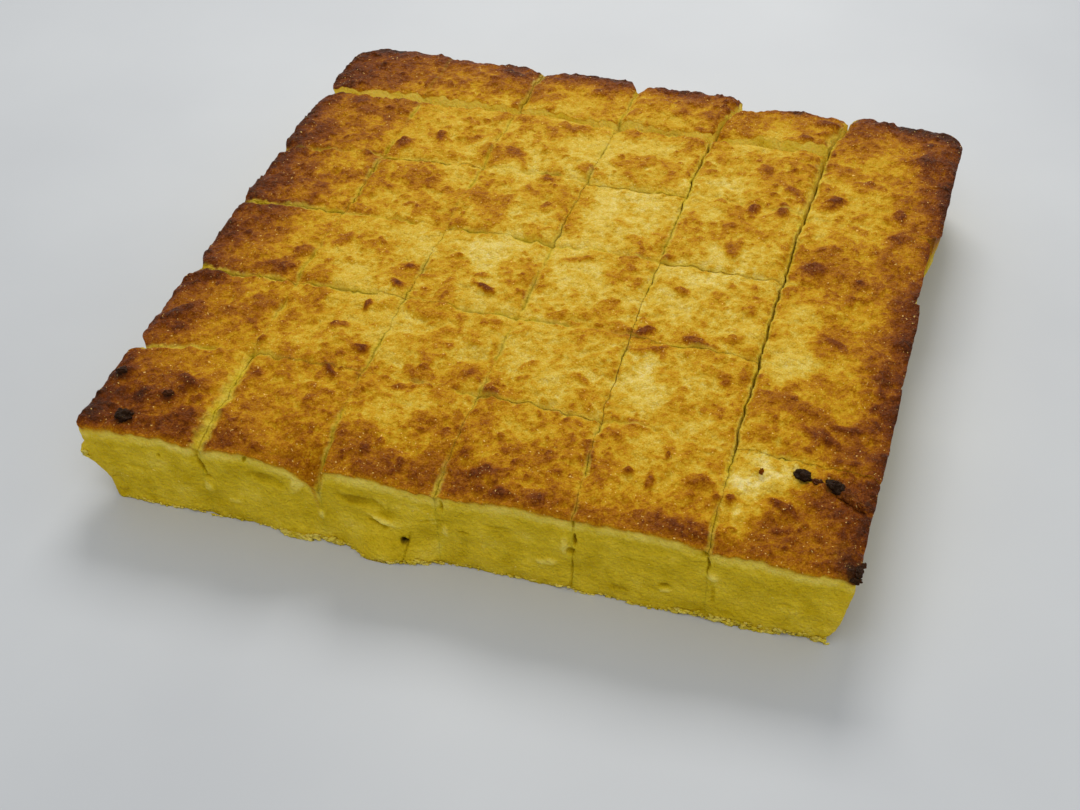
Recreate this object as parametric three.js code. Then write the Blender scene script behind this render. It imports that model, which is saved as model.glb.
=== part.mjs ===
// A square cassava cake, baked in a tin, turned out and cut by hand into thirty-five pieces.
// Millimetres, +Z up. The front faces -Y, the base is flat on z = 0 and the middle is over the origin.
// Each cut piece is one closed solid: a domed, crusty top, walls that follow the cuts, a flat base.
import * as THREE from 'three';

// ---- Size of the whole ----
// Places are measured in a frame near the middle; the last line brings the middle over the origin.
const halfWidth = 117;
const halfDepth = 113;
const cornerHeight = 29.5;
const sideRise = 3.2; // how much higher the middle is than the left and right sides
const frontRise = 3.0; // and than the front and back
const crownPower = 2.6;
const middle = { x: -1.5, y: 2.25 };

// ---- Outer sides ----
// start and end are where the crust's edge lies at the side's two ends, and steps how far each piece
// stands out past that. The foot is drawn in by taper, the crust stands out over the crumb by lip,
// and it rolls down to its edge by drop within reach.
const leftSide = {
  start: -119.4, end: -119.4, bow: 0, taper: 6.0, lip: 0.9, drop: 1.4, reach: 2.5,
  steps: [-0.9, 0, 0.5, 0.5, -0.3, -0.4],
};
const rightSide = {
  start: 116.1, end: 116.5, bow: 0, taper: 7.0, lip: 0.9, drop: 1.2, reach: 2.5,
  steps: [0, 0.2, -0.2, -1.9, 0.8, 0.8],
};
const frontSide = {
  start: -110.8, end: -105.2, bow: 0, taper: 0.4, lip: 0.4, drop: 0.9, reach: 1.2,
  steps: [0, 0, 0, 0, 0, 0],
};
const backSide = {
  start: 115.6, end: 115.6, bow: 0, taper: 5.0, lip: 0.9, drop: 2.2, reach: 3.5,
  steps: [1.4, 0, 1.0, -0.6, -3.0, 1.2],
};
const taperPower = 1.8; // the walls stand nearly upright above and round in to the foot
const cornerRadius = { frontLeft: 2, frontRight: 1.5, backLeft: 14, backRight: 8 };

// ---- Cuts ----
// start, end and bow lay the cut out as for a side; hooks bend its first and last stretch aside.
// gaps says how far it has opened at the crust, as [distance along it, width].
// A notch is where the cut comes out at a side: the edge is drawn in on the lower and on the higher
// side of the cut, as [depth, reach, depth, reach].
const hookReach = 14;
const columnCuts = [
  {
    start: -79.0, end: -79.5, bow: -1.0, hooks: [0, 0],
    gaps: [[-113, 2.2], [-74, 2.0], [-66, 0.6], [113, 0.6]],
    notches: [[0.8, 3, 0.8, 3], [2.5, 4, 2.0, 4]],
  },
  {
    start: -41.5, end: -42.0, bow: -0.8, hooks: [0, 0],
    gaps: [[-113, 1.0], [-100, 0.6], [113, 0.6]],
    notches: [[0, 3, 0, 3], [5, 5, 5, 6]],
  },
  {
    start: -4.3, end: -4.3, bow: -0.6, hooks: [0, 0],
    gaps: [[-113, 1.0], [-100, 0.6], [113, 0.6]],
    notches: [[0.5, 3, 0.5, 3], [8, 3.5, 8, 3]],
  },
  {
    start: 36.2, end: 31.5, bow: -3.0, hooks: [0, 5],
    gaps: [[-113, 0.7], [0, 0.6], [60, 1.2], [95, 2.0], [113, 3.0]],
    notches: [[0.3, 2, 0.3, 2], [3, 3, 10, 11]],
  },
  {
    start: 75.5, end: 72.0, bow: -1.6, hooks: [0, 4],
    gaps: [[-113, 0.6], [-70, 0.6], [-67, 1.2], [30, 1.4], [60, 2.5], [113, 3.0]],
    notches: [[0.3, 2, 0.3, 2], [1.5, 3, 3, 4]],
  },
];
const rowCuts = [
  {
    start: -70.0, end: -67.8, bow: 0.5, hooks: [-3.5, 0],
    gaps: [[-117, 1.0], [-100, 0.6], [117, 0.6]],
    notches: [[4, 2.5, 4, 3.5], [1, 2, 1, 2]],
  },
  {
    start: -34.0, end: -29.0, bow: -0.3, hooks: [0, 0],
    gaps: [[-117, 1.0], [-100, 0.6], [117, 0.6]],
    notches: [[3.5, 5, 3.5, 5], [0.5, 2, 0.5, 2]],
  },
  {
    start: 5.0, end: 11.5, bow: -1.0, hooks: [0, 0],
    gaps: [[-117, 0.6], [117, 0.6]],
    notches: [[0.8, 2, 0.8, 2], [0.8, 3, 0.8, 3]],
  },
  {
    start: 39.5, end: 47.5, bow: 1.0, hooks: [0, 0],
    gaps: [[-117, 0.6], [117, 0.6]],
    notches: [[1.5, 2.5, 1.5, 2.5], [1.5, 2.5, 1.5, 2.5]],
  },
  {
    start: 80.5, end: 90.0, bow: -3.0, hooks: [0, 0],
    gaps: [[-117, 3.2], [-60, 4.0], [-35, 3.0], [-12, 1.4], [25, 1.4], [37, 5.0], [52, 6.0], [117, 5.0]],
    notches: [[2, 4, 2, 4], [0, 3, 0, 3]],
  },
];
const gapAtBase = 0.4;
const cutWobble = 0.5; // a hand-held knife wanders this much
const wobbleLength = 45;

const columnLines = [leftSide, ...columnCuts, rightSide];
const rowLines = [frontSide, ...rowCuts, backSide];
const columnCount = columnLines.length - 1;
const rowCount = rowLines.length - 1;

// ---- Relief of the crust ----
const bumpHeight = 0.9;
const bumpLength = 11;
const pieceStep = 0.45; // neighbouring pieces stand up to this much higher or lower
const cutEdge = { drop: 0.8, reach: 1.6 }; // the crust rolls down into a cut

// Dips of the front edge, each beside one cut: x, how deep, how far to either side and to the back.
const frontDips = [
  { x: -41.5, depth: 6.5, west: 10, east: 1.5, back: 9 }, // the crust folded down into the cut
  { x: -4.0, depth: 2.5, west: 18, east: 14, back: 14 },
  { x: -79.0, depth: 1.2, west: 6, east: 6, back: 10 },
  { x: 75.5, depth: 0.8, west: 5, east: 5, back: 6 },
];

// Burnt lumps on the crust: place, height and radius.
const burntLumps = [
  { x: -105.5, y: -105.5, height: 2.6, radius: 3.2 },
  { x: 94.3, y: -75.3, height: 2.8, radius: 3.0 },
  { x: 103.4, y: -76.2, height: 2.8, radius: 3.2 },
  { x: 109, y: -79.5, height: 1.6, radius: 3.2 },
  { x: 113.5, y: -101.5, height: 1.0, radius: 4.0 },
];

// The crumb torn out at the foot of the front: place, how far it stands out, how far it runs to
// either side, and its height.
const tornFeet = [
  { x: -23, reach: 5.2, west: 8, east: 13, height: 9 },
  { x: -50, reach: 1.6, west: 6, east: 6, height: 6 },
];

// ---- Mesh density ----
const plainStations = [0, 0.035, 0.2, 0.4, 0.6, 0.8, 0.965, 1];
const fineStations = [0, 0.035, 0.12, 0.22, 0.32, 0.42, 0.52, 0.62, 0.72, 0.82, 0.91, 0.965, 1];
const innerLevels = [1, 0];
const outerLevels = [1, 0.9, 0.55, 0.2, 0];

// ---- Helpers ----
const lerp = (a, b, t) => a + (b - a) * t;
const bell = (distance, reach) => Math.exp(-((distance / reach) ** 2));
const fade = (t) => t * t * (3 - 2 * t);

function hash(i, j, seed) {
  const wave = Math.sin(i * 127.1 + j * 311.7 + seed * 74.7) * 43758.5453;
  return wave - Math.floor(wave);
}

// Smooth random relief between -1 and 1, the same at every run.
function noise(x, y, seed) {
  const i = Math.floor(x);
  const j = Math.floor(y);
  const u = fade(x - i);
  const v = fade(y - j);
  const low = lerp(hash(i, j, seed), hash(i + 1, j, seed), u);
  const high = lerp(hash(i, j + 1, seed), hash(i + 1, j + 1, seed), u);
  return 2 * lerp(low, high, v) - 1;
}

// The width of a cut at a distance along it, between the widths that are listed.
function gapWidth(gaps, along) {
  const next = gaps.findIndex(([place]) => place >= along);
  if (next < 0) return gaps[gaps.length - 1][1];
  if (next === 0) return gaps[0][1];
  const [placeBefore, widthBefore] = gaps[next - 1];
  const [placeAfter, widthAfter] = gaps[next];
  return lerp(widthBefore, widthAfter, (along - placeBefore) / (placeAfter - placeBefore));
}

// ---- Plan: where a side or cut lies at a distance along it ----
function linePosition(line, along, half, seed) {
  const t = (along + half) / (2 * half);
  let aside = line.bow * 4 * t * (1 - t);
  if (line.gaps) {
    aside += cutWobble * noise((t * 2 * halfDepth) / wobbleLength, 0, seed);
    aside += line.hooks[0] * bell(along + half, hookReach);
    aside += line.hooks[1] * bell(along - half, hookReach);
  }
  return lerp(line.start, line.end, t) + aside;
}

const stepOf = (line, index) => (line.steps ? line.steps[index] : 0);

const columnX = (piece, k, y) =>
  linePosition(columnLines[k], y, halfDepth, k) + stepOf(columnLines[k], piece.south);

const rowY = (piece, k, x) =>
  linePosition(rowLines[k], x, halfWidth, 20 + k) + stepOf(rowLines[k], piece.west);

// How far a piece's wall stands back from the line, from the crust (level 1) to the base (level 0).
function standBack(line, along, level) {
  if (line.gaps) {
    return 0.5 * lerp(gapAtBase, gapWidth(line.gaps, along), level * level);
  }
  const lip = line.lip * (1 - fade(THREE.MathUtils.clamp((level - 0.85) / 0.15, 0, 1)));
  return line.taper * (1 - level) ** taperPower + lip;
}

// The torn foot pushes the lower front wall out.
function footReach(x, z) {
  let reach = 0;
  for (const foot of tornFeet) {
    const side = x < foot.x ? foot.west : foot.east;
    reach += foot.reach * bell(x - foot.x, side) * bell(z, foot.height);
  }
  return reach;
}

// How far a notch draws a point in: ahead is its distance past the cut, inside that from the side.
function notchDepth([depthBefore, reachBefore, depthAfter, reachAfter], ahead, inside) {
  const depth = ahead < 0 ? depthBefore : depthAfter;
  const reach = ahead < 0 ? reachBefore : reachAfter;
  return depth * bell(ahead, reach) * bell(inside, Math.max(6, 2 * depth));
}

function notchAcross(piece, x, y) {
  let shift = 0;
  for (const k of [piece.west, piece.east]) {
    const { notches } = columnLines[k];
    if (!notches) continue;
    const ahead = x - columnX(piece, k, y);
    shift += notchDepth(notches[0], ahead, y - rowY(piece, 0, x));
    shift -= notchDepth(notches[1], ahead, y - rowY(piece, rowCount, x));
  }
  return shift;
}

function notchAlong(piece, x, y) {
  let shift = 0;
  for (const k of [piece.south, piece.north]) {
    const { notches } = rowLines[k];
    if (!notches) continue;
    const ahead = y - rowY(piece, k, x);
    shift += notchDepth(notches[0], ahead, x - columnX(piece, 0, y));
    shift -= notchDepth(notches[1], ahead, x - columnX(piece, columnCount, y));
  }
  return shift;
}

// A point of a piece's outline or top: u and v run across the piece, level runs up its wall.
function planPoint(piece, u, v, level) {
  const betweenColumns = (y) => {
    const west = columnX(piece, piece.west, y) + standBack(columnLines[piece.west], y, level);
    const east = columnX(piece, piece.east, y) - standBack(columnLines[piece.east], y, level);
    return lerp(west, east, u);
  };
  const betweenRows = (x) => {
    const south = rowY(piece, piece.south, x) + standBack(rowLines[piece.south], x, level);
    const north = rowY(piece, piece.north, x) - standBack(rowLines[piece.north], x, level);
    return lerp(south, north, v);
  };
  let x = 0;
  let y = 0;
  for (let pass = 0; pass < 5; pass += 1) {
    x = betweenColumns(y);
    y = betweenRows(x);
  }
  y += notchAcross(piece, x, y);
  x = betweenColumns(y);
  x += notchAlong(piece, x, y);
  return roundCorner(piece, { x, y }, level);
}

// The four corners of the whole are rounded by drawing the square corner in to an arc.
function roundCorner(piece, point, level) {
  const onLeft = piece.west === 0;
  const onRight = piece.east === columnCount;
  const atFront = piece.south === 0;
  const atBack = piece.north === rowCount;
  if (!(onLeft || onRight) || !(atFront || atBack)) return point;
  const name = (atFront ? 'front' : 'back') + (onLeft ? 'Left' : 'Right');
  const radius = cornerRadius[name];
  const signX = onLeft ? 1 : -1;
  const signY = atFront ? 1 : -1;
  const column = onLeft ? 0 : columnCount;
  const row = atFront ? 0 : rowCount;
  const edgeX = columnX(piece, column, point.y) + signX * standBack(columnLines[column], 0, level);
  const edgeY = rowY(piece, row, point.x) + signY * standBack(rowLines[row], 0, level);
  const inX = radius - signX * (point.x - edgeX);
  const inY = radius - signY * (point.y - edgeY);
  if (inX <= 0 || inY <= 0) return point;
  const shrink = Math.max(inX, inY) / Math.hypot(inX, inY);
  return {
    x: point.x + signX * inX * (1 - shrink),
    y: point.y + signY * inY * (1 - shrink),
  };
}

// ---- Height of the crust ----
function crown(x, y) {
  const u = Math.min(Math.abs(x) / halfWidth, 1);
  const v = Math.min(Math.abs(y) / halfDepth, 1);
  return cornerHeight + sideRise * (1 - u ** crownPower) + frontRise * (1 - v ** crownPower);
}

function edgeDrop(line, distance) {
  const { drop, reach } = line.gaps ? cutEdge : line;
  return drop * Math.exp(-Math.max(distance, 0) / reach);
}

function frontDip(piece, x, y) {
  const fromFront = Math.max(y - rowY(piece, 0, x), 0);
  const pieceMiddle = (columnX(piece, piece.west, y) + columnX(piece, piece.east, y)) / 2;
  let dip = 0;
  for (const { x: cutX, depth, west, east, back } of frontDips) {
    const reach = pieceMiddle < cutX ? west : east;
    dip += depth * bell(x - cutX, reach) * bell(fromFront, back);
  }
  return dip;
}

function crustHeight(piece, x, y) {
  const lift = pieceStep * (2 * hash(piece.west, piece.south, 7) - 1);
  const bumps = bumpHeight * noise(x / bumpLength, y / bumpLength, 31);
  const drops =
    edgeDrop(columnLines[piece.west], x - columnX(piece, piece.west, y)) +
    edgeDrop(columnLines[piece.east], columnX(piece, piece.east, y) - x) +
    edgeDrop(rowLines[piece.south], y - rowY(piece, piece.south, x)) +
    edgeDrop(rowLines[piece.north], rowY(piece, piece.north, x) - y);
  let lumps = 0;
  for (const { x: lumpX, y: lumpY, height, radius } of burntLumps) {
    lumps += height * bell(Math.hypot(x - lumpX, y - lumpY), radius);
  }
  return crown(x, y) + lift + bumps + lumps - drops - frontDip(piece, x, y);
}

// ---- One piece as a closed solid ----
function touchesSide({ west, east, south, north }) {
  return west === 0 || east === columnCount || south === 0 || north === rowCount;
}

function buildPiece(piece) {
  const levels = touchesSide(piece) ? outerLevels : innerLevels;
  const stations = piece.fine ? fineStations : plainStations;
  const last = stations.length - 1;
  const positions = [];
  const triangles = [];
  const addPoint = (x, y, z) => positions.push(x, y, z) / 3 - 1;
  const addQuad = (a, b, c, d) => triangles.push(a, b, c, a, c, d);

  // The top: a grid of points.
  const top = stations.map((v) =>
    stations.map((u) => {
      const { x, y } = planPoint(piece, u, v, 1);
      return addPoint(x, y, crustHeight(piece, x, y));
    }),
  );
  for (let j = 0; j < last; j += 1) {
    for (let i = 0; i < last; i += 1) {
      addQuad(top[j][i], top[j][i + 1], top[j + 1][i + 1], top[j + 1][i]);
    }
  }

  // The walls: rings of points round the edge, from the crust down to the base.
  const rim = [];
  for (let i = 0; i < last; i += 1) rim.push([i, 0]);
  for (let j = 0; j < last; j += 1) rim.push([last, j]);
  for (let i = last; i > 0; i -= 1) rim.push([i, last]);
  for (let j = last; j > 0; j -= 1) rim.push([0, j]);
  const rings = levels.map((level) =>
    rim.map(([i, j]) => {
      const edge = top[j][i];
      if (level === 1) return edge;
      const z = level * positions[edge * 3 + 2];
      const { x, y } = planPoint(piece, stations[i], stations[j], level);
      const foot = piece.south === 0 ? footReach(x, z) * (1 - stations[j]) ** 4 : 0;
      return addPoint(x, y - foot, z);
    }),
  );
  for (let k = 0; k + 1 < rings.length; k += 1) {
    rim.forEach((_, n) => {
      const next = (n + 1) % rim.length;
      addQuad(rings[k][n], rings[k + 1][n], rings[k + 1][next], rings[k][next]);
    });
  }

  // The base: a fan about its middle.
  const baseRing = rings[rings.length - 1];
  const { x: baseX, y: baseY } = planPoint(piece, 0.5, 0.5, 0);
  const centre = addPoint(baseX, baseY, 0);
  baseRing.forEach((point, n) => {
    triangles.push(centre, baseRing[(n + 1) % baseRing.length], point);
  });

  const geometry = new THREE.BufferGeometry();
  geometry.setAttribute('position', new THREE.Float32BufferAttribute(positions, 3));
  geometry.setIndex(triangles);
  geometry.computeVertexNormals();
  return geometry;
}

// ---- Colours: browner towards the rim ----
const goldenCrust = new THREE.Color(0xd9ad4e);
const brownCrust = new THREE.Color(0xa8692a);

function crustMaterial(piece) {
  const color = touchesSide(piece) ? brownCrust : goldenCrust;
  return new THREE.MeshStandardMaterial({ color, roughness: 0.55, metalness: 0 });
}

// ---- The pieces: named by row from the front and by column from the left ----
const cake = new THREE.Group();
cake.name = 'cassava_cake';
for (let row = 0; row < rowCount; row += 1) {
  for (let column = 0; column < columnCount; column += 1) {
    const inLastColumn = column === columnCount - 1;
    const uncut = inLastColumn && row === rowCount - 2; // the last row cut stops short of this column
    if (inLastColumn && row === rowCount - 1) continue;
    const north = uncut ? rowCount : row + 1;
    const atFrontCorner = row === 0 && (column === 0 || inLastColumn);
    const fine = atFrontCorner || north === rowCount;
    const piece = { west: column, east: column + 1, south: row, north, fine };
    const mesh = new THREE.Mesh(buildPiece(piece), crustMaterial(piece));
    mesh.name = `piece_row${row + 1}_column${column + 1}`;
    cake.add(mesh);
  }
}
cake.position.set(-middle.x, -middle.y, 0);

export default cake;
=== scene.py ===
# A square cassava cake, baked in a tin, turned out and cut by hand into thirty-five pieces.
# Places and sizes are in millimetres, as the solids have them, and the meshes are made in metres.
import math
from collections import namedtuple

import bpy
import numpy as np
from mathutils import Matrix, Vector


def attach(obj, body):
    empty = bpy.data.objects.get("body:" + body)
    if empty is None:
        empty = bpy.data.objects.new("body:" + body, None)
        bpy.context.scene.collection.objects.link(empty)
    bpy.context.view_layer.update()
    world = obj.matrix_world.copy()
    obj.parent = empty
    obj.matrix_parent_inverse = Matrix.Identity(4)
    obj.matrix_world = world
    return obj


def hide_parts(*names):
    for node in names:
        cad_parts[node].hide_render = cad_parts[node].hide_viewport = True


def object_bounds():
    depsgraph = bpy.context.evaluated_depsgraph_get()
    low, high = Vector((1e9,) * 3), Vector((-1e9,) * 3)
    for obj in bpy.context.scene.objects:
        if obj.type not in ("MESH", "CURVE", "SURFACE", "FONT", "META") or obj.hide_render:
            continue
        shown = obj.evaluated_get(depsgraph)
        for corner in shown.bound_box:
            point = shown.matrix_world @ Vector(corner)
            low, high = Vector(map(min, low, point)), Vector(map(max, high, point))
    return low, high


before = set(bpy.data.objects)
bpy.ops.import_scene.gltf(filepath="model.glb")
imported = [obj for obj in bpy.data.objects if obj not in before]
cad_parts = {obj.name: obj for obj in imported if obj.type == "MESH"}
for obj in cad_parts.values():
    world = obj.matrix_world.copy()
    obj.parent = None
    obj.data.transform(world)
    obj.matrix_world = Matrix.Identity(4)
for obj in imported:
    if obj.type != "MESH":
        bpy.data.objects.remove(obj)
cad_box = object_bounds()

MILLIMETRE = 0.001

# ---- Size of the whole ----
HALF_WIDTH = 117.0
HALF_DEPTH = 113.0
CORNER_HEIGHT = 29.5
SIDE_RISE = 3.2
FRONT_RISE = 3.0
CROWN_POWER = 2.6
MIDDLE = (-1.5, 2.25)  # brought over the origin when the meshes are made

# ---- Outer sides ----
# start and end: where the side lies at its two ends. bow: how far its middle stands out.
# taper: how far its foot stands in. lip: how far the crust overhangs the wall, with an edge that is
# ragged by so much. drop and reach: how far the crust falls at the edge, and from how far inside.
# steps: how far each piece along the side stands off it.
# marks: swellings and hollows in the wall, each a place along it, z, reach, height and depth.
LEFT = {
    "start": -119.4, "end": -119.4, "bow": 0.0, "taper": 6.0, "lip": 0.9, "drop": 1.4, "reach": 2.5,
    "steps": [-0.9, 0, 0.5, 0.5, -0.3, -0.4], "ragged": 0.9,
    "marks": [
        (-108, 17, 7, 2.4, -3.6), (-107, 7, 13, 5, 2.6), (-107, 1, 13, 4, 0.8),
        (-60, 16, 14, 6, -0.8), (10, 12, 18, 7, 0.8),
    ],
}
RIGHT = {
    "start": 116.1, "end": 116.5, "bow": 0.0, "taper": 7.0, "lip": 0.9, "drop": 1.2, "reach": 2.5,
    "steps": [0, 0.2, -0.2, -1.9, 0.8, 0.8], "ragged": 0.7,
    "marks": [(-106, 5, 14, 7, -1.8), (-50, 14, 16, 6, 0.7), (40, 18, 20, 6, -0.6)],
}
FRONT = {
    "start": -110.8, "end": -105.2, "bow": 0.0, "taper": 0.4, "lip": 0.4, "drop": 0.9, "reach": 1.2,
    "steps": [0, 0, 0, 0, 0, 0], "ragged": 0.25,
}
BACK = {
    "start": 115.6, "end": 115.6, "bow": 0.0, "taper": 5.0, "lip": 0.9, "drop": 2.2, "reach": 3.5,
    "steps": [1.4, 0, 1.0, -0.6, -3.0, 1.2], "ragged": 0.8,
}
TAPER_POWER = 1.8
CRUST_LEVEL = 0.955  # the share of a wall's height at which the crust begins
CRUST_BLEND = 0.04
CORNER_RADIUS = {"front left": 2.0, "front right": 1.5, "back left": 14.0, "back right": 8.0}

# ---- Cuts ----
# start, end and bow: as for the sides. hooks: how far the knife ran aside at the two ends.
# gaps: how wide the valley along the cut looks at the crust, as places along it and widths.
# open: what share of that width stands open. share: how much of it is on the far side of the line.
# notches: how the crust draws back where the cut meets the two outer sides, each a depth and reach
# on the near side of the cut, and a depth and reach on its far side.
HOOK_REACH = 14.0
COLUMN_CUTS = [
    {
        "start": -79.0, "end": -79.5, "bow": -1.0, "hooks": [0, 0],
        "gaps": [[-113, 2.9], [-76, 2.6], [-68, 0.8], [-60, 0.5], [113, 0.6]],
        "open": [[-113, 0.4], [-108, 0.0]],
        "notches": [[0.8, 3, 0.8, 3], [2.5, 4, 2.0, 4]],
    },
    {
        "start": -41.5, "end": -42.0, "bow": -0.8, "hooks": [0, 0],
        "gaps": [[-113, 1.0], [-100, 0.6], [113, 0.6]],
        "notches": [[0, 3, 0, 3], [5, 5, 5, 6]],
    },
    {
        "start": -4.3, "end": -4.3, "bow": -0.6, "hooks": [0, 0],
        "gaps": [[-113, 1.0], [-100, 0.6], [113, 0.6]],
        "notches": [[0.5, 3, 0.5, 3], [8, 3.5, 8, 3]],
    },
    {
        "start": 36.2, "end": 31.5, "bow": -3.0, "hooks": [0, 5],
        "gaps": [[-113, 0.7], [0, 0.6], [60, 1.2], [95, 2.0], [113, 3.0]],
        "open": [[-113, 0.8], [-100, 0.2], [0, 0.3], [60, 0.4], [95, 0.8]],
        "notches": [[0.3, 2, 0.3, 2], [3, 3, 10, 11]],
    },
    {
        "start": 75.5, "end": 72.0, "bow": -1.6, "hooks": [0, 4],
        "gaps": [[-113, 0.5], [-72, 0.6], [-67, 1.2], [30, 1.4], [60, 2.4], [113, 3.0]],
        "open": [[-113, 0.2], [-110, 0], [-70, 0.05], [-68, 0.65], [30, 0.5], [60, 0.45], [113, 0.6]],
        "notches": [[0.3, 2, 0.3, 2], [1.5, 3, 3, 4]],
    },
]
ROW_CUTS = [
    {
        "start": -70.0, "end": -67.8, "bow": 0.5, "hooks": [-3.5, 0],
        "gaps": [
            [-117, 1.0], [-100, 0.6], [66, 0.4], [76, 0.12], [84, 0.1], [88, 0.7], [92, 0.1], [117, 0.02],
        ],
        "notches": [[4, 2.5, 4, 3.5], [0.2, 1, 0.2, 1]],
    },
    {
        "start": -34.0, "end": -29.0, "bow": -0.3, "hooks": [0, 0],
        "gaps": [[-117, 1.0], [-100, 0.6], [66, 0.5], [80, 0.15], [117, 0.1]],
        "notches": [[3.5, 5, 3.5, 5], [0.5, 2, 0.5, 2]],
    },
    {
        "start": 5.0, "end": 11.5, "bow": -1.0, "hooks": [0, 0],
        "gaps": [[-117, 0.6], [66, 0.5], [80, 0.15], [117, 0.1]],
        "notches": [[0.8, 2, 0.8, 2], [0.8, 3, 0.8, 3]],
    },
    {
        "start": 39.5, "end": 47.5, "bow": 1.0, "hooks": [0, 0],
        "gaps": [[-117, 0.6], [66, 0.5], [80, 0.2], [117, 0.2]],
        "notches": [[1.5, 2.5, 1.5, 2.5], [1.5, 2.5, 1.5, 2.5]],
    },
    {
        "start": 80.5, "end": 90.0, "bow": -3.0, "hooks": [0, 0],
        "gaps": [
            [-117, 3.6], [-60, 4.6], [-35, 4.4], [-12, 3.3], [25, 3.4], [37, 4.8], [52, 6.0], [117, 5.0],
        ],
        "open": [[-117, 1.0]], "share": 0.85,
        "notches": [[2, 4, 2, 4], [0, 3, 0, 3]],
    },
]
CUT_WOBBLE = 0.5
WOBBLE_LENGTH = 45.0
FINE_WOBBLE = 0.42  # the torn edges of a cut wander together by this much
FINE_WOBBLE_LENGTH = 3.6
SEAM = 0.02  # what is left of a cut where it has stuck together again
TORN_EDGE = 0.2
CUT_FOOT = 0.92  # a hairline cut opens above this share of the wall's height
CUT_FOOT_FALL = 0.075  # and a wider one lower, by this share for each millimetre
CUT_FLARE = 1.3
CUT_BROWNING = 0.35  # how far the browning reaches down a cut, where it is the crust's thickness only

# Seeds of the random relief of a piece's four walls, and of the wander of the row lines.
WEST_WALL, EAST_WALL, SOUTH_WALL, NORTH_WALL = 100, 140, 200, 240
FAR_WALL = 40  # a seed's last two digits are at least this on the east and north walls
ROW_SEED = 20

COLUMN_LINES = [LEFT, *COLUMN_CUTS, RIGHT]
ROW_LINES = [FRONT, *ROW_CUTS, BACK]
COLUMN_COUNT = len(COLUMN_LINES) - 1
ROW_COUNT = len(ROW_LINES) - 1

# ---- Relief of the crust ----
BUMP_HEIGHT = 0.9
BUMP_LENGTH = 11.0
SWELLING, SWELLING_LENGTH = 0.35, 6.5
PEBBLES, PEBBLE_LENGTH = 0.48, 3.0
GRAINS, GRAIN_LENGTH = 0.2, 1.3
BROWNED_RISE = 2.9  # how far the darkest spots stand up
GOLDEN_RISE = 0.4
PIECE_STEP = 0.45  # neighbouring pieces differ in height by up to twice this
UNCUT_STEP = 0.3  # the share of that in the last column, whose pieces hardly came apart
FRONT_DIPS = [  # x, depth, reach to the west, to the east and to the back
    (-41.5, 7.6, 8, 1.5, 9),
    (-4.0, 2.5, 18, 14, 14),
    (-79.0, 1.2, 6, 6, 10),
    (75.5, 0.8, 5, 5, 6),
]
CRUST_SINK = 1.0  # the bumps stand on a skin a little lower than the crown
SOFT_CEILING = 0.25
BROWN_FOLDS = [  # x, y, reach, how far the crust browns down a cut there
    (-41.8, -108.5, 1.6, 9.0),
    (-79.0, -111.0, 2.0, 1.5),
    (115.0, 46.0, 5.0, 14.0),
]
TORN_FEET = [  # x, reach, run to the west and to the east, height
    (-23, 5.2, 8, 13, 9),
    (-50, 1.6, 6, 6, 6),
]

SHOULDER, SHOULDER_REACH = 0.45, 2.8  # how the crust of a piece rounds down towards a cut
VALLEY_DEEPEST = 1.7

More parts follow.
